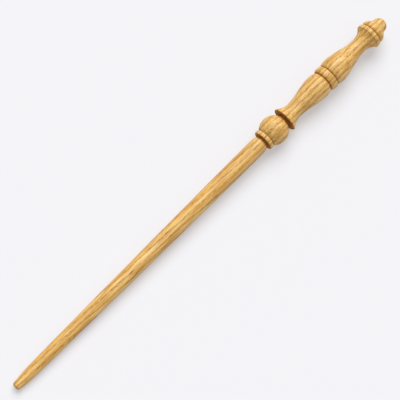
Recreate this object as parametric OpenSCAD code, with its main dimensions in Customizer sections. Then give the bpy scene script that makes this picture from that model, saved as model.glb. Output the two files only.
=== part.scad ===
/*
  Turned wooden wand, built from seven separately turned members.

  The turning axis is the X axis. +X points from the handle to the tip and +Z is up.
  The origin is on the axis, at the middle of the ring round the handle, where the hand closes.
  From the tip: shaft, collar, ball, fore grip, centre ring, rear grip, pommel.
  Round tenons join them. The shaft's runs through the collar and the ball into the fore grip,
  the fore grip's runs through the ring into the rear grip, and the pommel's into the rear grip.
  All sizes are millimetres.
*/

/* [Shaft] */
// Length of the shaft from its shoulder to the tip
shaft_length = 236.3; // [190:0.1:300]
// Diameter of the parallel part of the shaft
shaft_d = 12.4; // [9.5:0.1:14.5]
// Length of the parallel part, from the shoulder
straight_length = 15; // [8:1:60]
// Diameter where the long taper ends and the point begins
point_d = 8.4; // [7:0.1:10]
// Length of the point, from the end of the long taper to the tip
point_length = 20; // [12:1:40]
// Diameter of the tip before its edge is rounded
tip_d = 6.2; // [5:0.1:8]
// Radius of the rounded edge of the tip
tip_round = 1.9; // [0.5:0.1:2.3]
// Length of the rounded shoulder beside the collar
shoulder_length = 4.0; // [1.5:0.1:6]
// Diameter of the floor of the groove between the shoulder and the collar
shoulder_floor_d = 8.6; // [8.2:0.1:10.5]
// Width of that groove's floor
shoulder_floor_w = 1.3; // [0.5:0.1:2.5]

/* [Collar] */
// Width of the collar along the axis
collar_w = 3.3; // [2.8:0.1:5]
// Largest diameter of the collar
collar_d = 15.7; // [12.5:0.1:18.5]
// Diameter of the collar where it meets the ball
collar_back_d = 13.6; // [11:0.1:14.2]
// Distance from the ball to the widest part of the collar
collar_crown_at = 2.4; // [0.8:0.1:2.6]
// Radius of the edge of the collar towards the shaft
collar_round = 0.5; // [0.2:0.1:1.2]

/* [Ball] */
// Diameter of the ball
ball_d = 20.8; // [17.3:0.1:26]
// Diameter of the flat that meets the collar
ball_front_d = 14.2; // [11:0.1:15]
// Diameter of the short neck between the ball and the flange
ball_neck_d = 9.0; // [8.2:0.1:12]
// Gap between the round of the ball and the face of the flange
ball_gap = 0.2; // [0:0.1:2]

/* [Fore grip] */
// Length of the fore grip, from the centre ring to the face of its flange
fore_length = 39.2; // [33:0.1:50]
// Diameter at the joint with the centre ring
fore_joint_d = 14.4; // [13:0.1:17]
// Largest diameter, near the centre ring
fore_belly_d = 18.3; // [17.2:0.1:24]
// Distance from the centre ring to the largest diameter
fore_belly_at = 6.0; // [3:0.1:10]
// Diameter of the neck
fore_neck_d = 12.1; // [11.2:0.1:15]
// Distance from the centre ring to the neck
fore_neck_at = 29.4; // [24:0.1:31]
// Diameter of the flange beside the ball
fore_flange_d = 18.8; // [15:0.1:23]

/* [Centre ring] */
// Width of the ring
ring_w = 6.0; // [4.5:0.1:8]
// Largest diameter of the ring
ring_d = 18.8; // [17.2:0.1:23]
// Length of the ring's long round towards the fore grip
ring_front = 2.9; // [1:0.1:3]
// Length of the ring's short round towards the rear grip
ring_back = 1.1; // [0.5:0.1:1.5]

/* [Rear grip] */
// Length of the rear grip, from the centre ring to the pommel
rear_length = 43.5; // [36:0.1:54]
// Diameter at the joint with the centre ring
rear_joint_d = 15.6; // [13:0.1:17]
// Largest diameter, near the centre ring
rear_belly_d = 19.4; // [17.2:0.1:24]
// Distance from the centre ring to the largest diameter
rear_belly_at = 5.2; // [3:0.1:10]
// Diameter of the neck
rear_neck_d = 11.2; // [11:0.1:15]
// Distance from the centre ring to the neck
rear_neck_at = 30.5; // [24:0.1:31]
// Diameter of the flange beside the pommel
rear_flange_d = 19.4; // [15:0.1:23]

/* [Pommel] */
// Length of the pommel outside the handle
pommel_length = 13.6; // [11:0.1:18]
// Diameter at the joint with the rear grip
pommel_joint_d = 15.6; // [13:0.1:17]
// Diameter of the rim
pommel_rim_d = 18.2; // [15:0.1:23]
// Distance from the joint to the widest part of the rim
pommel_rim_at = 2.0; // [1:0.1:3]
// Diameter of the dome where it leaves the cove
dome_d = 10.8; // [8:0.1:13]
// Length of the dome
dome_length = 4.9; // [4:0.1:6.5]

/* [Joints] */
// Diameter of the shaft's tenon
shaft_tenon_d = 7.0; // [5.8:0.1:8.4]
// Depth of the shaft's tenon in the fore grip
shaft_tenon_depth = 24; // [15:1:30]
// Diameter of the fore grip's tenon
grip_tenon_d = 9.0; // [7.5:0.1:10.8]
// Depth of the fore grip's tenon in the rear grip
grip_tenon_depth = 16; // [10:1:20]
// Diameter of the pommel's tenon
pommel_tenon_d = 6.5; // [5:0.1:7.8]
// Depth of the pommel's tenon in the rear grip
pommel_tenon_depth = 14; // [8:1:17]
// Gap round a tenon, for the glue
glue_gap = 0.05; // [0.02:0.01:0.15]
// Gap past the end of a tenon, where spare glue collects
glue_well = 1.0; // [0.5:0.1:2]
// Chamfer on the end of a tenon
tenon_chamfer = 0.6; // [0.2:0.1:1]
// Diameter of the flutes along a tenon that let air and glue out
flute_d = 1.0; // [0.6:0.1:1.4]

/* [Hidden] */
$fn = 96;

wood = "#dcb06a";
flutes = 3;            // round each tenon
plain_land = 1.2;      // length of a tenon that the flutes leave plain, beside its face
past = 1;              // how far a cut runs past a face
arc_steps = 14;        // steps in a short curve
long_steps = 28;       // steps in a long curve
fore_cove = 40;        // slope of the fore grip's cove where it meets its rim, in degrees
rear_cove = 44;        // the same for the rear grip
taper_turn = 0.58;     // share of the long taper's length at which its curve aims
taper_drop = 0.36;     // share of the taper's fall at that place
point_turn = 0.5;      // share of the point's length at which its curve aims

// Rims of the flanges: width and drop on the neck side, then on the end side.
fore_rim = [0.9, 0.35, 0.3, 0.3];
rear_rim = [1.6, 0.55, 2.0, 1.6];

// Stations of the joints along the axis, from the middle of the centre ring.
fore_joint = ring_w / 2;
rear_joint = -ring_w / 2;
flange_face = fore_joint + fore_length;
ball_centre = flange_face + ball_gap + ball_d / 2;
collar_back = ball_centre + sqrt(pow(ball_d / 2, 2) - pow(ball_front_d / 2, 2));
shoulder = collar_back + collar_w;
tip = shoulder + shaft_length;
pommel_joint = rear_joint - rear_length;
pommel_end = pommel_joint - pommel_length;

// Lengths of the tenons, from the face that each one stands on.
shaft_tenon = shoulder - flange_face + shaft_tenon_depth;
grip_tenon = ring_w + grip_tenon_depth;

// ---- Outlines. Every point is [station, radius]. ----

// Part of an ellipse about centre c, with half axes h, from angle a to angle b.
function oval(c, h, a, b, n = arc_steps) =
    [for (i = [0:n]) let (t = a + (b - a) * i / n) [c[0] + h[0] * cos(t), c[1] + h[1] * sin(t)]];

// Cosine curve from p to q, level at both ends.
function swell(p, q, n = long_steps) =
    [for (i = [0:n]) let (t = i / n)
        [p[0] + (q[0] - p[0]) * t, p[1] + (q[1] - p[1]) * (1 - cos(180 * t)) / 2]];

// Parabola from p to q that leaves p and reaches q along the lines to c.
function bend(p, c, q, n = arc_steps) =
    [for (i = [0:n]) let (t = i / n, u = 1 - t) u * u * p + 2 * u * t * c + t * t * q];

// A grip from its joint with the ring, at 0, to the end of its flange, at its length.
function grip_outline(length, joint_d, belly_d, belly_at, neck_d, neck_at, flange_d, rim, slope) =
    let (belly = [belly_at, belly_d / 2],
         neck = [neck_at, neck_d / 2],
         crown = [length - rim[2], flange_d / 2],
         cove = [crown[0] - rim[0], crown[1] - rim[1]],
         turn = [cove[0] - (cove[1] - neck[1]) / tan(slope), neck[1]])
    concat(
        oval([belly[0], joint_d / 2], [belly[0], belly[1] - joint_d / 2], 180, 90),
        swell(belly, neck),
        bend(neck, turn, cove),
        oval([crown[0], cove[1]], [rim[0], rim[1]], 180, 90),
        oval([crown[0], crown[1] - rim[3]], [rim[2], rim[3]], 90, 0));

// ---- Turned solids ----

// Turns an outline about the X axis, closed by straight lines to the axis at its two ends.
module turned(outline) {
    last = len(outline) - 1;
    points = concat([[outline[0][0], 0]], outline, [[outline[last][0], 0]]);
    rotate([0, 90, 0]) rotate_extrude() polygon([for (p = points) [p[1], p[0]]]);
}

// Plain cylinder along the X axis between stations a and b.
module rod(d, a, b) {
    translate([min(a, b), 0, 0]) rotate([0, 90, 0]) cylinder(d = d, h = abs(b - a));
}

// Round tenon from station a to station b, with flutes along it and a chamfer at its far end.
module tenon(d, a, b) {
    out = sign(b - a);
    flute_from = a + out * plain_land;
    flute_to = b + out * past;
    difference() {
        turned([[a, d / 2], [b - out * tenon_chamfer, d / 2], [b, d / 2 - tenon_chamfer]]);
        for (i = [0:flutes - 1]) rotate([360 / flutes * i, 0, 0]) translate([0, 0, d / 2])
            rod(flute_d, flute_from, flute_to);
    }
}

// Hole for a tenon of diameter d, from the face at station a to the tenon's end at station b.
module socket(d, a, b) {
    out = sign(b - a);
    rod(d + 2 * glue_gap, a - out * past, b + out * glue_well);
}

// ---- The seven members ----

// Tapered shaft with a rounded shoulder, a parallel part, a long taper and a point.
module shaft() {
    r = shaft_d / 2;
    floor_end = shoulder + shoulder_floor_w;
    taper_start = shoulder + straight_length;
    point_start = tip - point_length;
    taper = point_start - taper_start;
    drop = r - point_d / 2;
    lean = [taper_start + taper * taper_turn, r - drop * taper_drop];
    fall = drop * (1 - taper_drop) / (taper * (1 - taper_turn));
    turn_at = point_length * point_turn;
    turn = [point_start + turn_at, point_d / 2 - fall * turn_at];
    round_c = [tip - tip_round, tip_d / 2 - tip_round];
    color(wood) {
        turned(concat(
            [[shoulder, shoulder_floor_d / 2]],
            oval([floor_end + shoulder_length, shoulder_floor_d / 2],
                 [shoulder_length, r - shoulder_floor_d / 2], 180, 90),
            bend([taper_start, r], lean, [point_start, point_d / 2], long_steps),
            bend([point_start, point_d / 2], turn, [round_c[0], tip_d / 2], long_steps),
            oval(round_c, [tip_round, tip_round], 90, 0)));
        tenon(shaft_tenon_d, shoulder, shoulder - shaft_tenon);
    }
}

// Thin collar bored for the shaft's tenon, with a steep face towards the shaft.
module collar() {
    crown_at = collar_back + collar_crown_at;
    color(wood) difference() {
        turned(concat(
            oval([crown_at, collar_back_d / 2],
                 [collar_crown_at, (collar_d - collar_back_d) / 2], 180, 90),
            oval([crown_at, collar_d / 2 - collar_round], [shoulder - crown_at, collar_round], 90, 0),
            [[shoulder, shoulder_floor_d / 2]]));
        socket(shaft_tenon_d, shoulder, collar_back);
    }
}

// Ball on the shaft's tenon, with a flat against the collar and a short neck to the flange.
module ball() {
    color(wood) difference() {
        union() {
            translate([ball_centre, 0, 0]) sphere(d = ball_d);
            rod(ball_neck_d, flange_face, ball_centre);
        }
        rod(ball_d + 2 * past, collar_back, collar_back + ball_d);
        socket(shaft_tenon_d, collar_back, flange_face);
    }
}

// Front half of the handle, with a socket for the shaft and a tenon for the rear half.
module fore_grip() {
    outline = grip_outline(fore_length, fore_joint_d, fore_belly_d, fore_belly_at,
                           fore_neck_d, fore_neck_at, fore_flange_d, fore_rim, fore_cove);
    color(wood) {
        difference() {
            turned([for (p = outline) [fore_joint + p[0], p[1]]]);
            socket(shaft_tenon_d, flange_face, shoulder - shaft_tenon);
        }
        tenon(grip_tenon_d, fore_joint, fore_joint - grip_tenon);
    }
}

// Ring between the two halves of the handle, with a long round in front and a short one behind,
// bored for the fore grip's tenon.
module centre_ring() {
    crown_r = ring_d / 2;
    rear_r = rear_joint_d / 2;
    fore_r = fore_joint_d / 2;
    color(wood) difference() {
        turned(concat(
            oval([rear_joint + ring_back, rear_r], [ring_back, crown_r - rear_r], 180, 90),
            oval([fore_joint - ring_front, fore_r], [ring_front, crown_r - fore_r], 90, 0)));
        socket(grip_tenon_d, fore_joint, rear_joint);
    }
}

// Rear half of the handle, with a socket in each end.
module rear_grip() {
    outline = grip_outline(rear_length, rear_joint_d, rear_belly_d, rear_belly_at,
                           rear_neck_d, rear_neck_at, rear_flange_d, rear_rim, rear_cove);
    color(wood) difference() {
        turned([for (p = outline) [rear_joint - p[0], p[1]]]);
        socket(grip_tenon_d, rear_joint, fore_joint - grip_tenon);
        socket(pommel_tenon_d, pommel_joint, pommel_joint + pommel_tenon_depth);
    }
}

// Acorn-shaped pommel: a rounded rim, a cove and a dome, on its own tenon.
module pommel() {
    cove_foot = [pommel_end + dome_length, dome_d / 2];
    rim_at = pommel_joint - pommel_rim_at;
    joint_r = pommel_joint_d / 2;
    rim_r = pommel_rim_d / 2;
    color(wood) {
        turned(concat(
            oval([rim_at, joint_r], [pommel_rim_at, rim_r - joint_r], 0, 90),
            swell([rim_at, rim_r], cove_foot),
            oval([cove_foot[0], 0], [dome_length, dome_d / 2], 90, 180)));
        tenon(pommel_tenon_d, pommel_joint, pommel_joint + pommel_tenon_depth);
    }
}

shaft();
collar();
ball();
fore_grip();
centre_ring();
rear_grip();
pommel();
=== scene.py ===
"""A turned wooden wand: seven lathe-turned members of ring-porous hardwood, on a pale studio floor.

Every member is one outline carried round the X axis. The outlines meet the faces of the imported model, whose
boxes give their stations and largest diameters. Sizes are in metres, +X runs from the handle to the tip, and
+Z is up.
"""

import math

import bpy
import numpy as np
from bpy.props import FloatProperty, FloatVectorProperty, IntProperty, PointerProperty
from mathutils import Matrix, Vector


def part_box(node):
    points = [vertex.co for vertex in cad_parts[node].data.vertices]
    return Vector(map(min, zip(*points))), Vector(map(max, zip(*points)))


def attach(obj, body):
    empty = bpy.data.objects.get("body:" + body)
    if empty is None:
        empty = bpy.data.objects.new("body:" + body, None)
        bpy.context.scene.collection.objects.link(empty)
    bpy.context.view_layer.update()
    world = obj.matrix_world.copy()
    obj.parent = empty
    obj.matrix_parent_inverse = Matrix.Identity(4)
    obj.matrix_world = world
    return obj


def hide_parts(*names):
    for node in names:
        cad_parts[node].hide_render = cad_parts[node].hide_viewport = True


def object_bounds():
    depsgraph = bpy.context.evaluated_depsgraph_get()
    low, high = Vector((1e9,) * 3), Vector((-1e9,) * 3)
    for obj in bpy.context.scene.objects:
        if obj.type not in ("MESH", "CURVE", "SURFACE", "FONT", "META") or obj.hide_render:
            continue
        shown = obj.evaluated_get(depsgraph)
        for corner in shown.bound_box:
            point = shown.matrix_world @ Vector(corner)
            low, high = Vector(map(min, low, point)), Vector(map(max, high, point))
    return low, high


bl_info = {
    "name": "Turned Wand",
    "version": (1, 0, 0),
    "blender": (4, 5, 0),
    "location": "View3D > Sidebar > Wand",
    "description": "Turns the seven members of a wooden wand and lays it on a studio floor",
    "category": "Object",
}

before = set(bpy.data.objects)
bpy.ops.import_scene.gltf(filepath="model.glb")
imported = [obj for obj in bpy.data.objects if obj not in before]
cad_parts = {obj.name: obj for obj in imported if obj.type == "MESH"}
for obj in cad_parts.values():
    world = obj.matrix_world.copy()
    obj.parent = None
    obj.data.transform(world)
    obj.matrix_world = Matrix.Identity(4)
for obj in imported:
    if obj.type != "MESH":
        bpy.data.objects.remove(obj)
CAD_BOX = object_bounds()

MM = 0.001
NODES = ("shaft", "collar", "ball", "fore_grip", "centre_ring", "rear_grip", "pommel")
LOW = {node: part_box(node)[0] for node in NODES}
HIGH = {node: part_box(node)[1] for node in NODES}


# ---------------------------------------------------------------- sizes and finishes


def length(name, description, mm, low=0.0):
    """A size property, given in millimetres and held in metres."""
    return FloatProperty(
        name=name, description=description, default=mm * MM, min=low * MM, unit="LENGTH", precision=5
    )


def share(name, description, default):
    """A plain number between 0 and 1."""
    return FloatProperty(
        name=name, description=description, default=default, min=0.0, max=1.0, subtype="FACTOR"
    )


def angle(name, description, degrees):
    """An angle property, given in degrees and held in radians."""
    return FloatProperty(
        name=name, description=description, default=math.radians(degrees), subtype="ANGLE", precision=5
    )


def colour(name, description, default):
    """A linear RGB colour property."""
    return FloatVectorProperty(
        name=name, description=description, default=default, min=0.0, max=1.0, size=3, subtype="COLOR"
    )


class ShaftSizes(bpy.types.PropertyGroup):
    """Outline of the shaft; its length and its largest diameter come from the frame."""

    straight: length("Straight", "Length of the parallel part, from the shoulder", 15)
    point_d: length("Point diameter", "Diameter where the long taper ends", 8.4)
    point: length("Point", "Length of the point, from the end of the long taper to the tip", 20)
    tip_d: length("Tip diameter", "Diameter of the tip before its edge is rounded", 6.2)
    tip_round: length("Tip edge", "Radius of the rounded edge of the tip", 1.9)
    shoulder: length("Shoulder", "Length of the rounded shoulder beside the collar", 4.0)
    floor_d: length("Groove floor", "Diameter of the groove between shoulder and collar", 8.6)
    floor_w: length("Groove width", "Width of that groove's floor", 1.3)


class CollarSizes(bpy.types.PropertyGroup):
    """Outline of the collar."""

    back_d: length("Back diameter", "Diameter where it meets the ball", 13.6)
    crown_at: length("Crown", "Distance from the ball to the widest part", 2.4)
    edge: length("Edge", "Radius of the edge towards the shaft", 0.5)


class BallSizes(bpy.types.PropertyGroup):
    """Outline of the ball."""

    front_d: length("Front flat", "Diameter of the flat that meets the collar", 14.2)
    neck_d: length("Neck", "Diameter of the short neck beside the flange", 9.0)


class ForeGripSizes(bpy.types.PropertyGroup):
    """Outline of the front half of the handle, measured from the centre ring."""

    joint_d: length("Joint", "Diameter at the centre ring", 14.4)
    belly_d: length("Belly", "Largest diameter", 18.3)
    belly_at: length("Belly place", "Distance from the ring to the belly", 6.0)
    neck_d: length("Waist", "Diameter of the waist", 12.1)
    neck_at: length("Waist place", "Distance from the ring to the waist", 29.4)
    flange_d: length("Flange", "Diameter of the flange beside the ball", 18.8)
    cove: angle("Cove", "Slope of the cove where it meets the rim", 40)
    rim_in: length("Rim, waist side", "Width of the rim on the side of the waist", 0.9)
    drop_in: length("Drop, waist side", "Height of the rim on the side of the waist", 0.35)
    rim_out: length("Rim, end side", "Width of the rim on the side of the ball", 0.3)
    drop_out: length("Drop, end side", "Height of the rim on the side of the ball", 0.3)


class RearGripSizes(bpy.types.PropertyGroup):
    """Outline of the rear half of the handle, measured from the centre ring."""

    joint_d: length("Joint", "Diameter at the centre ring", 15.6)
    belly_d: length("Belly", "Largest diameter", 19.4)
    belly_at: length("Belly place", "Distance from the ring to the belly", 5.2)
    neck_d: length("Waist", "Diameter of the waist", 11.2)
    neck_at: length("Waist place", "Distance from the ring to the waist", 30.5)
    flange_d: length("Flange", "Diameter of the flange beside the pommel", 19.4)
    cove: angle("Cove", "Slope of the cove where it meets the rim", 44)
    rim_in: length("Rim, waist side", "Width of the rim on the side of the waist", 1.6)
    drop_in: length("Drop, waist side", "Height of the rim on the side of the waist", 0.55)
    rim_out: length("Rim, end side", "Width of the rim on the side of the pommel", 2.0)
    drop_out: length("Drop, end side", "Height of the rim on the side of the pommel", 1.6)


class RingSizes(bpy.types.PropertyGroup):
    """Outline of the centre ring."""

    front: length("Front round", "Length of the long round towards the fore grip", 2.9)
    back: length("Back round", "Length of the short round towards the rear grip", 1.1)


class PommelSizes(bpy.types.PropertyGroup):
    """Outline of the pommel."""

    joint_d: length("Joint", "Diameter at the rear grip", 15.6)
    rim_at: length("Rim", "Distance from the joint to the widest part", 2.0)
    dome_d: length("Dome diameter", "Diameter of the dome where it leaves the cove", 10.8)
    dome: length("Dome", "Length of the dome", 4.9)


class JointSizes(bpy.types.PropertyGroup):
    """The round tenons and the holes that take them."""

    shaft_d: length("Shaft tenon", "Diameter of the tenon that carries collar and ball", 7.0)
    grip_d: length("Grip tenon", "Diameter of the tenon that carries the centre ring", 9.0)
    pommel_d: length("Pommel tenon", "Diameter of the tenon of the pommel", 6.5)
    gap: length("Glue gap", "Gap round a tenon", 0.05)
    well: length("Glue well", "Gap past the end of a tenon", 1.0)
    chamfer: length("Chamfer", "Chamfer on the end of a tenon", 0.6)
    flute_d: length("Flute", "Diameter of the three flutes along a tenon", 1.0)
    land: length("Land", "Length of a tenon left plain beside its face", 1.2)


class LatheSizes(bpy.types.PropertyGroup):
    """How finely the members are turned."""

    around: IntProperty(name="Around", description="Steps round the axis", default=160, min=24)
    fine: length("Fine step", "Step along the outline where it turns", 0.09, 0.02)
    coarse: length("Coarse step", "Step along the outline where it runs straight", 0.75, 0.1)
    edge: length("Eased edge", "Width over which sanding has eased a corner", 0.22, 0.05)


class WoodFinish(bpy.types.PropertyGroup):
    """Grain and finish of the wood, and the shade painted into its grooves."""

    late: colour("Latewood", "Colour of the smooth part of a growth ring", (0.87, 0.595, 0.225))
    early: colour("Earlywood", "Colour of the porous part of a growth ring", (0.46, 0.22, 0.03))
    pore: colour("Pores", "Colour down in the pores", (0.21, 0.08, 0.010))
    warm: colour("Warm tone", "Colour that the broad variation leans to", (0.72, 0.39, 0.09))
    # The groove colour serves two marks: painted shade in the grooves, and the wood's own darker end grain.
    groove: colour("Grooves", "Colour in the grooves and on end grain", (0.36, 0.12, 0.003))
    spacing: length("Ring spacing", "Distance between growth rings", 3.3, 0.5)
    pore_depth: length("Pore depth", "Depth of the open pores", 0.09)
    roughness: share("Roughness", "Roughness of the sanded and oiled wood", 0.43)
    coat: share("Coat", "Strength of the satin film left by the oil", 0.08)


class StageLook(bpy.types.PropertyGroup):
    """Floor, lights and camera."""

    floor: colour("Floor", "Colour of the floor", (0.43, 0.432, 0.452))
    glow: share("Floor glow", "Part of the floor's light that shadows leave", 0.36)
    key: FloatProperty(name="Key", description="Strength of the main light", default=3.05, min=0)
    fill: FloatProperty(name="Fill", description="Strength of the light from all round", default=0.46, min=0)
    key_angle: angle("Key size", "Apparent size of the main light", 50)
    azimuth: angle("Azimuth", "Heading of the camera", 134.007)
    elevation: angle("Elevation", "Height of the camera", 73.855)
    distance: length("Distance", "Distance from the camera to the wand", 1000)
    aim_from_tip: length("Aim", "Distance from the tip to the middle of the picture", 175.9)
    aim_aside: length("Aim aside", "How far the middle of the picture lies beside the axis", 1.8)
    lens: FloatProperty(name="Lens", description="Focal length of the camera in millimetres", default=132.64)


class WandSettings(bpy.types.PropertyGroup):
    """Everything that the operators read."""

    shaft: PointerProperty(type=ShaftSizes)
    collar: PointerProperty(type=CollarSizes)
    ball: PointerProperty(type=BallSizes)
    fore_grip: PointerProperty(type=ForeGripSizes)
    centre_ring: PointerProperty(type=RingSizes)
    rear_grip: PointerProperty(type=RearGripSizes)
    pommel: PointerProperty(type=PommelSizes)
    joints: PointerProperty(type=JointSizes)
    lathe: PointerProperty(type=LatheSizes)
    wood: PointerProperty(type=WoodFinish)
    stage: PointerProperty(type=StageLook)


# ---------------------------------------------------------------- outlines
# An outline is an array of (station, radius) that keeps the wood on its right: along the outside towards the
# tip, and back through the bore, if there is one.

TAPER_TURN = 0.58  # share of the long taper's length at which its curve aims
TAPER_DROP = 0.36  # share of the taper's fall at that place
POINT_TURN = 0.5  # share of the point's length at which its curve aims


def oval(centre, half, start, stop, count=40):
    """Arc of an ellipse: centre + (half width x cos t, half height x sin t), t from start to stop degrees."""
    t = np.radians(np.linspace(start, stop, count))
    return np.column_stack([centre[0] + half[0] * np.cos(t), centre[1] + half[1] * np.sin(t)])


def swell(p, q, count=80):
    """Cosine curve from p to q, level at both ends: radius = p + (q - p)(1 - cos(pi t)) / 2."""
    t = np.linspace(0, 1, count)
    return np.column_stack([p[0] + (q[0] - p[0]) * t, p[1] + (q[1] - p[1]) * (1 - np.cos(np.pi * t)) / 2])


def bend(p, c, q, count=60):
    """Parabola from p to q along the lines to c: (1-t)^2 p + 2t(1-t) c + t^2 q."""
    t = np.linspace(0, 1, count)[:, None]
    return (1 - t) ** 2 * np.array(p) + 2 * t * (1 - t) * np.array(c) + t**2 * np.array(q)


def grip(sizes, span):
    """Grip from its joint at 0 to its end at span: quarter oval, swell, cove and the flange's two rounds."""
    belly = (sizes.belly_at, sizes.belly_d / 2)
    neck = (sizes.neck_at, sizes.neck_d / 2)
    crown = (span - sizes.rim_out, sizes.flange_d / 2)
    cove = (crown[0] - sizes.rim_in, crown[1] - sizes.drop_in)
    turn = (cove[0] - (cove[1] - neck[1]) / math.tan(sizes.cove), neck[1])
    joint = sizes.joint_d / 2
    return np.vstack([
        oval((belly[0], joint), (belly[0], belly[1] - joint), 180, 90),
        swell(belly, neck),
        bend(neck, turn, cove),
        oval((crown[0], cove[1]), (sizes.rim_in, sizes.drop_in), 180, 90),
        oval((crown[0], crown[1] - sizes.drop_out), (sizes.rim_out, sizes.drop_out), 90, 0),
    ])


def tenon(diameter, face, end, chamfer):
    """Half section of a tenon from the axis at its end to the face that it stands on."""
    back = math.copysign(chamfer, face - end)
    radius = diameter / 2
    return np.array([(end, 0), (end, radius - chamfer), (end + back, radius), (face, radius)])


def hole(diameter, face, end, joints):
    """Half section of a blind hole for that tenon, from the axis at its bottom to its mouth."""
    bottom = end + math.copysign(joints.well, end - face)
    radius = diameter / 2 + joints.gap
    return np.array([(bottom, 0), (bottom, radius), (face, radius)])


def through(diameter, face, other, joints):
    """Wall of a through hole for that tenon, from one face to the other."""
    radius = diameter / 2 + joints.gap
    return np.array([(face, radius), (other, radius)])


def shaft_outline(wand):
    """Tenon, groove floor, quarter-oval shoulder, parallel part, long taper and point as parabolas, round."""
    s, joints = wand.shaft, wand.joints
    shoulder, tip, radius = HIGH["collar"].x, HIGH["shaft"].x, HIGH["shaft"].y
    floor_end = shoulder + s.floor_w
    taper = shoulder + s.straight
    point = tip - s.point
    drop = radius - s.point_d / 2
    lean = (taper + (point - taper) * TAPER_TURN, radius - drop * TAPER_DROP)
    fall = drop * (1 - TAPER_DROP) / ((point - taper) * (1 - TAPER_TURN))
    turn_at = POINT_TURN * s.point
    turn = (point + turn_at, s.point_d / 2 - fall * turn_at)
    centre = (tip - s.tip_round, s.tip_d / 2 - s.tip_round)
    return np.vstack([
        tenon(joints.shaft_d, shoulder, LOW["shaft"].x, joints.chamfer),
        [(shoulder, s.floor_d / 2)],
        oval((floor_end + s.shoulder, s.floor_d / 2), (s.shoulder, radius - s.floor_d / 2), 180, 90),
        bend((taper, radius), lean, (point, s.point_d / 2), 160),
        bend((point, s.point_d / 2), turn, (centre[0], s.tip_d / 2)),
        oval(centre, (s.tip_round, s.tip_round), 90, 0),
        [(tip, 0)],
    ])


def collar_outline(wand):
    """Shallow oval up to the crown, a small round, a flat face towards the shaft, and the bore."""
    s, joints = wand.collar, wand.joints
    back, shoulder, radius = LOW["collar"].x, HIGH["collar"].x, HIGH["collar"].y
    crown = back + s.crown_at
    return np.vstack([
        oval((crown, s.back_d / 2), (s.crown_at, radius - s.back_d / 2), 180, 90),
        oval((crown, radius - s.edge), (shoulder - crown, s.edge), 90, 0),
        [(shoulder, wand.shaft.floor_d / 2)],
        through(joints.shaft_d, shoulder, back, joints),
    ])


def ball_outline(wand):
    """Short neck, then the arc of the ball's circle from the neck to the front flat, and the bore."""
    s, joints = wand.ball, wand.joints
    flange, collar, radius = LOW["ball"].x, HIGH["ball"].x, HIGH["ball"].y
    neck, front = s.neck_d / 2, s.front_d / 2
    centre = collar - math.sqrt(radius**2 - front**2)
    start = 180 - math.degrees(math.asin(neck / radius))
    stop = math.degrees(math.asin(front / radius))
    return np.vstack([
        [(flange, neck)],
        oval((centre, 0), (radius, radius), start, stop, 140),
        through(joints.shaft_d, collar, flange, joints),
    ])


def fore_grip_outline(wand):
    """Tenon behind, the grip's outside, and the blind hole for the shaft in front."""
    joints = wand.joints
    ring, flange = HIGH["centre_ring"].x, HIGH["fore_grip"].x
    outside = grip(wand.fore_grip, flange - ring) + (ring, 0)
    return np.vstack([
        tenon(joints.grip_d, ring, LOW["fore_grip"].x, joints.chamfer),
        outside,
        hole(joints.shaft_d, flange, LOW["shaft"].x, joints)[::-1],
    ])


def centre_ring_outline(wand):
    """Short oval up from the rear grip, long oval down to the fore grip, and the bore."""
    s, joints = wand.centre_ring, wand.joints
    back, front, radius = LOW["centre_ring"].x, HIGH["centre_ring"].x, HIGH["centre_ring"].y
    rear, fore = wand.rear_grip.joint_d / 2, wand.fore_grip.joint_d / 2
    return np.vstack([
        oval((back + s.back, rear), (s.back, radius - rear), 180, 90),
        oval((front - s.front, fore), (s.front, radius - fore), 90, 0),
        through(joints.grip_d, front, back, joints),
    ])


def rear_grip_outline(wand):
    """Blind hole for the pommel behind, the grip's outside, and the blind hole for the fore grip in front."""
    joints = wand.joints
    ring, end = HIGH["rear_grip"].x, LOW["rear_grip"].x
    outside = grip(wand.rear_grip, ring - end)[::-1] * (-1, 1) + (ring, 0)
    return np.vstack([
        hole(joints.pommel_d, end, HIGH["pommel"].x, joints),
        outside,
        hole(joints.grip_d, ring, LOW["fore_grip"].x, joints)[::-1],
    ])


def pommel_outline(wand):
    """Quarter-oval dome, cosine cove, oval rim, flat joint and the tenon."""
    s, joints = wand.pommel, wand.joints
    end, joint, radius = LOW["pommel"].x, LOW["rear_grip"].x, HIGH["pommel"].y
    foot = (end + s.dome, s.dome_d / 2)
    rim = joint - s.rim_at
    return np.vstack([
        oval((foot[0], 0), (s.dome, s.dome_d / 2), 180, 90),
        swell(foot, (rim, radius)),
        oval((rim, s.joint_d / 2), (s.rim_at, radius - s.joint_d / 2), 90, 0),
        tenon(joints.pommel_d, joint, HIGH["pommel"].x, joints.chamfer)[::-1],
    ])


OUTLINES = {
    "shaft": shaft_outline,
    "collar": collar_outline,
    "ball": ball_outline,
    "fore_grip": fore_grip_outline,
    "centre_ring": centre_ring_outline,
    "rear_grip": rear_grip_outline,
    "pommel": pommel_outline,
}


# ---------------------------------------------------------------- lathe

EASE_STEPS = 10  # steps in which one eased edge is walked
TURN_SHARE = 0.1  # a row's step as a share of the turning radius there
FLUTES = 3  # flutes round a tenon
COLUMNS = 4000  # stations at which the silhouette is known
WALK = 0.05 * MM  # step in which the outlines are walked for it
BANK_REACH = 2 * MM  # how far to each side of a row its banks are looked for
FULL_DEPTH = 2.5 * MM  # how far below its banks a row counts as fully deep


def walked(line, step):
    """The line resampled at even steps along its length."""
    ahead = np.hypot(*np.diff(line, axis=0).T)
    line = line[np.r_[True, ahead > 1e-9]]
    along = np.r_[0, np.cumsum(np.hypot(*np.diff(line, axis=0).T))]
    even = np.linspace(0, along[-1], int(np.ceil(along[-1] / step)) + 1)
    return np.column_stack([np.interp(even, along, line[:, i]) for i in (0, 1)])


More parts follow.
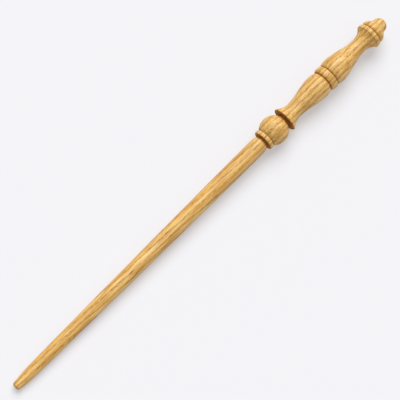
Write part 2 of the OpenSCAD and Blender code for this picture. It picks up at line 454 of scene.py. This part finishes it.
def eased(outline, lathe):
    """The outline with its corners rounded by a running mean, and rows set close where it turns.

    The outline is walked in steps of a tenth of the eased edge, and each point becomes the mean of those
    within half an edge. A row's step is a tenth of the turning radius, held between the fine step and the
    coarse one, and the rows stand where the running sum of 1 / step passes a whole number. A closed outline
    wraps round; an open one ends on the axis and is continued there by its own mirror image.
    """
    closed = outline[0, 1] > 0
    if closed:
        outline = np.vstack([outline, outline[:1]])
    line = walked(outline, lathe.edge / EASE_STEPS)
    reach = EASE_STEPS // 2
    if closed:
        line = line[:-1]
        padded = np.vstack([line[-reach:], line, line[:reach]])
    else:
        mirror = (1, -1)
        padded = np.vstack([line[reach:0:-1] * mirror, line, line[-2 : -2 - reach : -1] * mirror])
    window = np.ones(2 * reach + 1) / (2 * reach + 1)
    line = np.column_stack([np.convolve(padded[:, i], window, "valid") for i in (0, 1)])
    if closed:
        line = np.vstack([line, line[:1]])
    ahead = np.diff(line, axis=0)
    heading = np.unwrap(np.arctan2(ahead[:, 1], ahead[:, 0]))
    turning = np.abs(np.gradient(heading)) / np.hypot(*ahead.T)
    turning = np.convolve(np.pad(turning, reach, "edge"), window, "valid")
    wanted = np.clip(TURN_SHARE / np.maximum(turning, 1e-6), lathe.fine, lathe.coarse)
    rows = np.r_[0, np.cumsum(np.hypot(*ahead.T) / wanted)]
    even = np.linspace(0, rows[-1], int(np.ceil(rows[-1])) + 1)
    line = np.column_stack([np.interp(even, rows, line[:, i]) for i in (0, 1)])
    return line[:-1] if closed else line, closed


def fluted(radius, station, angle, flutes):
    """Radius cut by round flutes: at angle d from a flute it is R cos d - sqrt(f^2 - R^2 sin^2 d).

    R is the tenon's radius, on which the axes of the flutes lie, and f the flutes' own radius.
    """
    big, low, high, small = flutes
    pitch = 2 * np.pi / FLUTES
    off = (angle + pitch / 2) % pitch - pitch / 2
    inside = np.maximum(small**2 - (big * np.sin(off)) ** 2, 0)
    cut = np.where(inside > 0, big * np.cos(off) - np.sqrt(inside), np.inf)
    return np.where((station > low) & (station < high), np.minimum(radius, cut), radius)


def silhouette(wand):
    """Stations along X and the wand's radius there, the largest of all its outlines walked in short steps."""
    station = np.linspace(CAD_BOX[0].x, CAD_BOX[1].x, COLUMNS)
    radius = np.zeros_like(station)
    for make in OUTLINES.values():
        line = walked(make(wand), WALK)
        column = np.searchsorted(station, line[:, 0]).clip(0, COLUMNS - 1)
        np.maximum.at(radius, column, line[:, 1])
    return station, radius


def deep(line, wand):
    """How far each row lies below the lower of its two banks, as a share of the full depth.

    A bank is the widest part of the whole wand within reach on one side of the row.
    """
    station, radius = silhouette(wand)
    ahead = station - line[:, :1]
    sides = (-ahead, ahead)
    banks = [np.where((side >= 0) & (side < BANK_REACH), radius, 0).max(1) for side in sides]
    return ((np.minimum(*banks) - line[:, 1]) / FULL_DEPTH).clip(0, 1)


def along_axis(line):
    """How far each row's surface faces along X: |change of radius| / length of outline, from 0 to 1."""
    slope = np.gradient(line, axis=0)
    return np.abs(slope[:, 1]) / np.hypot(*slope.T)


def turned(name, outline, wand, flutes=None):
    """Solid of revolution: the point (x, r) of the outline goes to (x, r cos a, r sin a) for a all round.

    An outline that ends on the axis is closed there by a fan round one point. Each vertex carries how deep in
    a groove it lies, by which the material paints shade into the grooves, and how far its surface faces along
    X, by which it darkens end grain.
    """
    line, closed = eased(outline, wand.lathe)
    around = wand.lathe.around
    angle = np.linspace(0, 2 * np.pi, around, endpoint=False)
    body = line if closed else line[1:-1]
    station, a = np.broadcast_arrays(body[:, :1], angle)
    radius = np.broadcast_to(body[:, 1:], station.shape)
    if flutes:
        radius = fluted(radius, station, a, flutes)
    points = np.stack([station, radius * np.cos(a), radius * np.sin(a)], -1).reshape(-1, 3)
    rows = len(body)
    index = np.arange(rows * around).reshape(rows, around)
    below = np.vstack([index, index[:1]]) if closed else index
    here, there = below[:-1], below[1:]
    quads = np.stack([here, np.roll(here, -1, 1), np.roll(there, -1, 1), there], -1).reshape(-1, 4)
    corners = [quads.ravel()]
    starts = [np.arange(len(quads)) * 4]
    if not closed:
        first, last = len(points), len(points) + 1
        points = np.vstack([points, [line[0, 0], 0, 0], [line[-1, 0], 0, 0]])
        ring = np.full(around, first)
        corners.append(np.stack([ring, np.roll(index[0], -1), index[0]], -1).ravel())
        corners.append(np.stack([ring + 1, index[-1], np.roll(index[-1], -1)], -1).ravel())
        starts.append(len(quads) * 4 + np.arange(2 * around) * 3)
    corners, starts = np.concatenate(corners), np.concatenate(starts)
    mesh = bpy.data.meshes.new(name)
    mesh.vertices.add(len(points))
    mesh.vertices.foreach_set("co", points.ravel().astype(np.float32))
    mesh.loops.add(len(corners))
    mesh.loops.foreach_set("vertex_index", corners.astype(np.int32))
    mesh.polygons.add(len(starts))
    mesh.polygons.foreach_set("loop_start", starts.astype(np.int32))
    for attribute, value in (("depth", deep(line, wand)), ("end_grain", along_axis(line))):
        value = np.repeat(value, around) if closed else np.r_[np.repeat(value[1:-1], around), value[[0, -1]]]
        mesh.attributes.new(attribute, "FLOAT", "POINT").data.foreach_set("value", value.astype(np.float32))
    mesh.update(calc_edges=True)
    mesh.shade_smooth()
    if mesh.validate():
        raise RuntimeError(f"the mesh of {name} had faults")
    piece = bpy.data.objects.new(name, mesh)
    bpy.context.scene.collection.objects.link(piece)
    return piece


# ---------------------------------------------------------------- shader sums


class Value:
    """A number that varies over the surface. Python sums on it add Math nodes to its material."""

    def __init__(self, sheet, socket):
        self.sheet = sheet
        self.socket = socket

    def _do(self, operation, *numbers):
        sockets = dict(enumerate(numbers))
        return self.sheet.node("ShaderNodeMath", {"operation": operation}, sockets)

    def __add__(self, other):
        return self._do("ADD", self, other)

    def __sub__(self, other):
        return self._do("SUBTRACT", self, other)

    def __rsub__(self, other):
        return self._do("SUBTRACT", other, self)

    def __mul__(self, other):
        return self._do("MULTIPLY", self, other)

    def __truediv__(self, other):
        return self._do("DIVIDE", self, other)

    def __pow__(self, other):
        return self._do("POWER", self, other)

    __radd__ = __add__
    __rmul__ = __mul__

    def sine(self):
        """Sine of the number, in radians."""
        return self._do("SINE", self)

    def fraction(self):
        """What is left of the number after its whole part."""
        return self._do("FRACT", self)

    def step(self, low, high):
        """0 below low, 1 above high and smooth between; falling where low is above high."""
        settings = {"interpolation_type": "SMOOTHSTEP"}
        if low < high:
            return self.sheet.node(
                "ShaderNodeMapRange", settings, {"Value": self, "From Min": low, "From Max": high}
            )
        return 1 - self.step(high, low)


class Sheet:
    """The node tree of one material."""

    def __init__(self, name):
        self.material = bpy.data.materials.new(name)
        self.material.use_nodes = True
        self.tree = self.material.node_tree
        self.tree.nodes.clear()

    def node(self, kind, settings=None, sockets=None, out=0):
        """Adds one node: its settings first, then its sockets' values or links. Returns the output out."""
        made = self.tree.nodes.new(kind)
        for key, value in (settings or {}).items():
            setattr(made, key, value)
        for key, value in (sockets or {}).items():
            if isinstance(value, Value):
                self.tree.links.new(value.socket, made.inputs[key])
            else:
                made.inputs[key].default_value = value
        return Value(self, made.outputs[out]) if made.outputs else made

    def mix(self, factor, first, second):
        """Colour between first and second."""
        return self.node(
            "ShaderNodeMix", {"data_type": "RGBA"}, {0: factor, 6: first, 7: second}, out=2
        )

    def noise(self, place, detail=2.0, roughness=0.5):
        """Fractal noise at a place, about 0.5."""
        sockets = {"Vector": place, "Scale": 1.0, "Detail": detail, "Roughness": roughness}
        return self.node("ShaderNodeTexNoise", {}, sockets)

    def cells(self, place):
        """Distance from a place to the nearest of scattered points, one in each unit cell."""
        return self.node("ShaderNodeTexVoronoi", {"feature": "F1"}, {"Vector": place, "Scale": 1.0})


def rgba(colour):
    """A linear colour with full alpha."""
    return (*colour, 1.0)


# ---------------------------------------------------------------- wood
# All lengths here are in millimetres.

PITH_ASIDE = 62  # how far the pith lies from the axis towards -Y, at X = 0
PITH_ABOVE = 18  # how far it lies above the axis
DRIFT = 3.0  # how far the rings drift sideways, unevenly
SWAY = 0.8  # how far they sway up and down along the grain
SWAY_LENGTH = 60  # length along the grain in which the sway turns by one radian
UNEVEN = 0.9  # how much the spacing of the rings varies, in rings

# Bands of a growth ring: the shares of its width between which each one fades in, and then fades out.
EARLY_BAND = ((0.0, 0.1), (0.62, 0.22))
LATE_BAND = ((0.55, 0.96), (1.0, 0.965))

# Patterns drawn out along the grain: length along it, width across it, and a shift that sets each one apart.
PATTERNS = {
    "drift": (60, 12, 3.1),
    "uneven": (400, 6, 7.7),
    "pores": (4.2, 0.46, 0.0),
    "patches": (9, 0.9, 5.3),
    "specks": (2.2, 0.3, 11.0),
    "fibres": (11, 0.34, 1.7),
    "streaks": (22, 1.2, 4.4),
    "broad": (60, 7, 9.2),
}

# The blank of each member: its seed, its share of the warm colour, and its pith's lean for each step along X.
BLANKS = {
    "shaft": (0.0, 0.3, 0.05),
    "collar": (0.21, 0.1, 0.012),
    "ball": (0.47, 0.05, 0.012),
    "fore_grip": (0.6, 0.0, 0.012),
    "centre_ring": (0.33, 0.1, 0.012),
    "rear_grip": (0.74, 0.1, 0.012),
    "pommel": (0.88, 0.05, 0.012),
}


def wood(name, look, seed, tone, lean):
    """Ring-porous hardwood with its grain along X, as a solid that the piece was cut from.

    Growth rings are cylinders round a far-off pith that leans from X by lean. Each ring opens with a band of
    large pores and closes with smooth latewood. Pores are long cells along X, fibres and streaks are noise
    drawn out along X, and broad noise tilts the tone. Seed moves the patterns of a piece, and tone is its
    share of the warm colour. End grain holds more oil and is darker. The grooves are darkened by painted
    shade, which stands in for the shade that falls into them.
    """
    sheet = Sheet(name)
    place = sheet.node("ShaderNodeTexCoord", out="Object")
    split = "ShaderNodeSeparateXYZ"
    x, y, z = (sheet.node(split, {}, {0: place}, out=axis) / MM for axis in "XYZ")

    def stretched(pattern):
        """Place in the cells of a pattern."""
        along, across, shift = PATTERNS[pattern]
        return sheet.node(
            "ShaderNodeCombineXYZ",
            {},
            {"X": x / along + (seed + shift), "Y": y / across + shift, "Z": z / across - shift},
        )

    # Growth rings: turn runs from 0 to 1 across each one, early is its porous band and late its dense edge.
    drift = sheet.noise(stretched("drift")) * DRIFT
    side = y + x * lean + drift + PITH_ASIDE
    height = z + (x / SWAY_LENGTH).sine() * SWAY - PITH_ABOVE
    ring = (side * side + height * height) ** 0.5 / (look.spacing / MM)
    uneven = sheet.noise(stretched("uneven"), 1.0) * UNEVEN
    turn = (ring + uneven).fraction()
    early, late = (turn.step(*rise) * turn.step(*fall) for rise, fall in (EARLY_BAND, LATE_BAND))

    # Large pores stand in the porous band only, and in patches. Small specks are everywhere.
    patches = sheet.noise(stretched("patches"), 1.0)
    pores = sheet.cells(stretched("pores")).step(0.5, 0.24) * early * patches.step(0.3, 0.52)
    specks = sheet.cells(stretched("specks")).step(0.44, 0.2) * (0.4 + 0.5 * early)
    fibre = sheet.noise(stretched("fibres"), 3.0, 0.62)
    streak = sheet.noise(stretched("streaks"), 3.0, 0.6)
    broad = sheet.noise(stretched("broad"))

    depth = sheet.node("ShaderNodeAttribute", {"attribute_name": "depth"}, out="Fac")
    end_grain = sheet.node("ShaderNodeAttribute", {"attribute_name": "end_grain"}, out="Fac")

    # The tones that lie on the bare latewood, lowest first: how far each one covers those below it.
    tones = (
        (early * 0.62 + late * 0.3, look.early),
        (broad.step(0.35, 0.7) * (0.35 + tone), look.warm),
        (streak.step(0.44, 0.62) * 0.7, look.early),
        (fibre.step(0.42, 0.68) * 0.5, look.early),
        (specks * 0.85, look.early),
        (pores * 0.8, look.pore),
        (end_grain.step(0.55, 1.0) * 0.5, look.groove),
        # Painted shade: rows deep in a groove are darkened towards the groove colour, standing in for the
        # shade that falls into it.
        (depth.step(0.04, 0.5) * 0.85, look.groove),
    )
    base = rgba(look.late)
    for cover, paint in tones:
        base = sheet.mix(cover, base, rgba(paint))

    # Open pores and end grain are rougher, and the film of oil doesn't stand on end grain.
    rough = look.roughness + pores * 0.25 + (fibre - 0.5) * 0.16 + end_grain.step(0.3, 0.9) * 0.35
    height_map = fibre * 0.12 - pores - specks * 0.25 - early * 0.12
    relief = {"Strength": 1.0, "Distance": look.pore_depth, "Height": height_map}
    bump = sheet.node("ShaderNodeBump", {}, relief)
    shader = sheet.node(
        "ShaderNodeBsdfPrincipled",
        {},
        {
            "Base Color": base,
            "Roughness": rough,
            "Normal": bump,
            "IOR": 1.48,
            "Specular IOR Level": 0.36,
            "Coat Weight": end_grain.step(0.8, 0.2) * look.coat,
            "Coat Roughness": 0.32,
        },
    )
    sheet.node("ShaderNodeOutputMaterial", {}, {"Surface": shader})
    return sheet.material


# ---------------------------------------------------------------- stage

KEY_FROM = (0.12, 0.75, 0.64)  # way to the main light: shares of the camera's right, its up and its back
SENSOR = 36  # width of the camera's sensor in millimetres
MOST_TILT = 4  # largest tilt of the floor that is tried, in degrees
TILTS = 3201  # how many tilts are tried


def balanced_floor(wand):
    """Where the wand lies at rest: the tilt a that puts its centre of mass lowest above the floor.

    The floor's highest support is h(a) = max(r cos a - x sin a) over all outlines, and the centre of mass
    lies h(a) + c sin a above it, where c = integral(x r^2) / integral(r^2). Returns a and h(a).
    """
    lines = np.vstack([make(wand) for make in OUTLINES.values()])
    station, radius = silhouette(wand)
    centre = (station * radius**2).sum() / (radius**2).sum()
    tilts = np.radians(np.linspace(-MOST_TILT, MOST_TILT, TILTS))[:, None]
    reach = (lines[:, 1] * np.cos(tilts) - lines[:, 0] * np.sin(tilts)).max(1)
    best = np.argmin(reach + centre * np.sin(tilts[:, 0]))
    return float(tilts[best, 0]), float(reach[best])


def direction(azimuth, elevation):
    """Unit vector from the wand towards a camera at that heading and height."""
    flat = math.cos(elevation)
    return Vector((math.sin(azimuth) * flat, -math.cos(azimuth) * flat, math.sin(elevation)))


def add_sun(name, towards, strength, angle):
    """A soft distant light that shines from the given direction."""
    data = bpy.data.lights.new(name, "SUN")
    data.energy = strength
    data.angle = angle
    lamp = bpy.data.objects.new(name, data)
    lamp.rotation_mode = "QUATERNION"
    lamp.rotation_quaternion = towards.to_track_quat("Z", "Y")
    bpy.context.scene.collection.objects.link(lamp)


def floor_disc(name, normal, drop, radius=3.0, around=96):
    """Flat disc square to normal and drop below the axis: a fan of (r cos a, r sin a, 0), turned to it."""
    angle = np.linspace(0, 2 * np.pi, around, endpoint=False)
    rim = np.column_stack([np.cos(angle), np.sin(angle), np.zeros(around)]) * radius
    turn = np.array(Vector((0, 0, 1)).rotation_difference(normal).to_matrix())
    points = np.vstack([[0, 0, 0], rim]) @ turn.T - np.array(normal) * drop
    ring = np.arange(around)
    faces = np.column_stack([np.zeros(around, int), ring + 1, (ring + 1) % around + 1])
    mesh = bpy.data.meshes.new(name)
    mesh.from_pydata(points, [], faces.tolist())
    disc = bpy.data.objects.new(name, mesh)
    bpy.context.scene.collection.objects.link(disc)
    return disc


def floor_material(look):
    """Matt pale sweep."""
    sheet = Sheet("floor_paper")
    shader = sheet.node(
        "ShaderNodeBsdfPrincipled",
        {},
        {
            "Base Color": rgba(look.floor),
            "Roughness": 0.9,
            "Specular IOR Level": 0.2,
            "Emission Color": (0.99, 0.98, 1.0, 1.0),
            "Emission Strength": look.glow,
        },
    )
    sheet.node("ShaderNodeOutputMaterial", {}, {"Surface": shader})
    return sheet.material


# ---------------------------------------------------------------- operators


def finish(piece, node):
    """Gives a member its wood, lets it ride on the wand and stand for its node."""
    look = bpy.context.scene.wand.wood
    piece.data.materials.append(wood("wood_" + node, look, *BLANKS[node]))
    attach(piece, "root")
    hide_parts(node)


def flutes_on(joints, diameter, face, end):
    """Where a tenon's flutes run: the tenon's radius, both ends and the flutes' own radius.

    They start past the plain land beside the face and run out through the tenon's end.
    """
    land, past = math.copysign(joints.land, end - face), math.copysign(MM, end - face)
    low, high = sorted((face + land, end + past))
    return diameter / 2, low, high, joints.flute_d / 2


class WAND_OT_shaft(bpy.types.Operator):
    """Turn the long tapered shaft with its tenon."""

    bl_idname = "wand.turn_shaft"
    bl_label = "Turn Shaft"

    def execute(self, context):
        wand = context.scene.wand
        flutes = flutes_on(wand.joints, wand.joints.shaft_d, HIGH["collar"].x, LOW["shaft"].x)
        piece = turned("tapered_shaft", shaft_outline(wand), wand, flutes)
        finish(piece, "shaft")
        return {"FINISHED"}


class WAND_OT_rings(bpy.types.Operator):
    """Turn the two thin bored members: the collar and the centre ring."""

    bl_idname = "wand.turn_rings"
    bl_label = "Turn Collar and Ring"

    def execute(self, context):
        wand = context.scene.wand
        finish(turned("bored_collar", collar_outline(wand), wand), "collar")
        finish(turned("beaded_ring", centre_ring_outline(wand), wand), "centre_ring")
        return {"FINISHED"}


class WAND_OT_ball(bpy.types.Operator):
    """Turn the bored ball."""

    bl_idname = "wand.turn_ball"
    bl_label = "Turn Ball"

    def execute(self, context):
        wand = context.scene.wand
        finish(turned("turned_ball", ball_outline(wand), wand), "ball")
        return {"FINISHED"}


class WAND_OT_grips(bpy.types.Operator):
    """Turn the two waisted halves of the handle."""

    bl_idname = "wand.turn_grips"
    bl_label = "Turn Grips"

    def execute(self, context):
        wand = context.scene.wand
        flutes = flutes_on(wand.joints, wand.joints.grip_d, HIGH["centre_ring"].x, LOW["fore_grip"].x)
        fore = turned("waisted_fore_grip", fore_grip_outline(wand), wand, flutes)
        finish(fore, "fore_grip")
        finish(turned("waisted_rear_grip", rear_grip_outline(wand), wand), "rear_grip")
        return {"FINISHED"}


class WAND_OT_pommel(bpy.types.Operator):
    """Turn the acorn-shaped pommel with its tenon."""

    bl_idname = "wand.turn_pommel"
    bl_label = "Turn Pommel"

    def execute(self, context):
        wand = context.scene.wand
        flutes = flutes_on(wand.joints, wand.joints.pommel_d, LOW["rear_grip"].x, HIGH["pommel"].x)
        finish(turned("domed_pommel", pommel_outline(wand), wand, flutes), "pommel")
        return {"FINISHED"}


class WAND_OT_stage(bpy.types.Operator):
    """Set up the camera, the soft light and the pale floor that the wand lies on."""

    bl_idname = "wand.set_stage"
    bl_label = "Set Stage"

    def execute(self, context):
        scene, wand = context.scene, context.scene.wand
        look = wand.stage
        back = direction(look.azimuth, look.elevation)
        right = Vector((0, 0, 1)).cross(back).normalized()
        up = back.cross(right)
        data = bpy.data.cameras.new("camera")
        data.lens = look.lens
        data.sensor_width = SENSOR
        camera = bpy.data.objects.new("camera", data)
        aim = Vector((HIGH["shaft"].x - look.aim_from_tip, 0, 0)) + (up - right).normalized() * look.aim_aside
        camera.location = aim + back * look.distance
        camera.rotation_mode = "QUATERNION"
        camera.rotation_quaternion = back.to_track_quat("Z", "Y")
        scene.collection.objects.link(camera)
        scene.camera = camera

        tilt, drop = balanced_floor(wand)
        normal = Vector((math.sin(tilt), 0, math.cos(tilt)))
        disc = floor_disc("floor", normal, drop)
        disc.data.materials.append(floor_material(look))

        aside, above, behind = KEY_FROM
        towards = (up * above + right * aside + back * behind).normalized()
        add_sun("key", towards, look.key, look.key_angle)
        world = bpy.data.worlds.new("studio")
        world.use_nodes = True
        background = world.node_tree.nodes["Background"]
        background.inputs["Color"].default_value = (1, 1, 1, 1)
        background.inputs["Strength"].default_value = look.fill
        scene.world = world
        scene.view_settings.view_transform = "Standard"
        return {"FINISHED"}


class WAND_PT_panel(bpy.types.Panel):
    """Lists the steps in the order in which they are run, and below them all settings."""

    bl_idname = "WAND_PT_panel"
    bl_label = "Turned Wand"
    bl_space_type = "VIEW_3D"
    bl_region_type = "UI"
    bl_category = "Wand"

    def draw(self, context):
        for step in STEPS:
            self.layout.operator(step.bl_idname)
        for group in WandSettings.__annotations__:
            box = self.layout.box()
            box.label(text=group.replace("_", " ").capitalize())
            settings = getattr(context.scene.wand, group)
            for name in type(settings).__annotations__:
                box.prop(settings, name)


STEPS = (WAND_OT_stage, WAND_OT_shaft, WAND_OT_rings, WAND_OT_ball, WAND_OT_grips, WAND_OT_pommel)
GROUPS = (
    ShaftSizes,
    CollarSizes,
    BallSizes,
    ForeGripSizes,
    RingSizes,
    RearGripSizes,
    PommelSizes,
    JointSizes,
    LatheSizes,
    WoodFinish,
    StageLook,
    WandSettings,
)
CLASSES = (*GROUPS, *STEPS, WAND_PT_panel)


def register():
    """Adds the classes and the scene's settings."""
    for cls in CLASSES:
        bpy.utils.register_class(cls)
    bpy.types.Scene.wand = PointerProperty(type=WandSettings)


def unregister():
    """Takes them away again."""
    del bpy.types.Scene.wand
    for cls in reversed(CLASSES):
        bpy.utils.unregister_class(cls)


def main():
    register()
    for step in STEPS:
        group, name = step.bl_idname.split(".")
        getattr(getattr(bpy.ops, group), name)()


if __name__ == "__main__":
    main()
